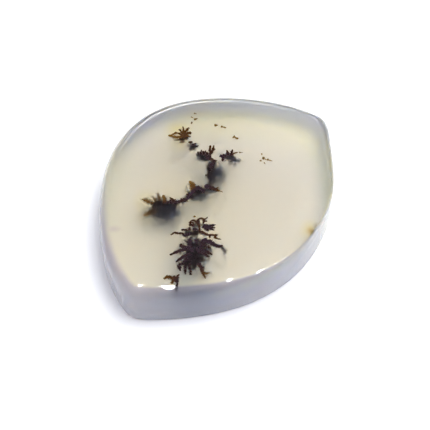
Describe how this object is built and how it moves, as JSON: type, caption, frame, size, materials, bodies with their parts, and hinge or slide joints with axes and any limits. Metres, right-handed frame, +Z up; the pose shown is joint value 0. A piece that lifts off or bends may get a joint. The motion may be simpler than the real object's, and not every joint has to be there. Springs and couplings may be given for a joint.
{
  "type": "dendritic agate specimen",
  "caption": "Polished leaf-shaped slab of milky agate with dark fern-like dendrites, flat top and base, rounded upper edge.",
  "frame": {"origin": "middle of the flat base, at the centre of the stone's bounding box", "axes": "+X along the long axis from the left corner to the right corner, +Y across the width, +Z up out of the polished top face"},
  "size_m": [0.0372, 0.0292, 0.0052],
  "materials": {
    "chalcedony": "high polish, milky and translucent, cream through the thickness and blue-grey at the sides",
    "dendrite": "dark oxide grown inside the stone, black-brown with rust-brown tips"
  },
  "bodies": {
    "root": {"agate": "chalcedony"}
  },
  "joints": []
}
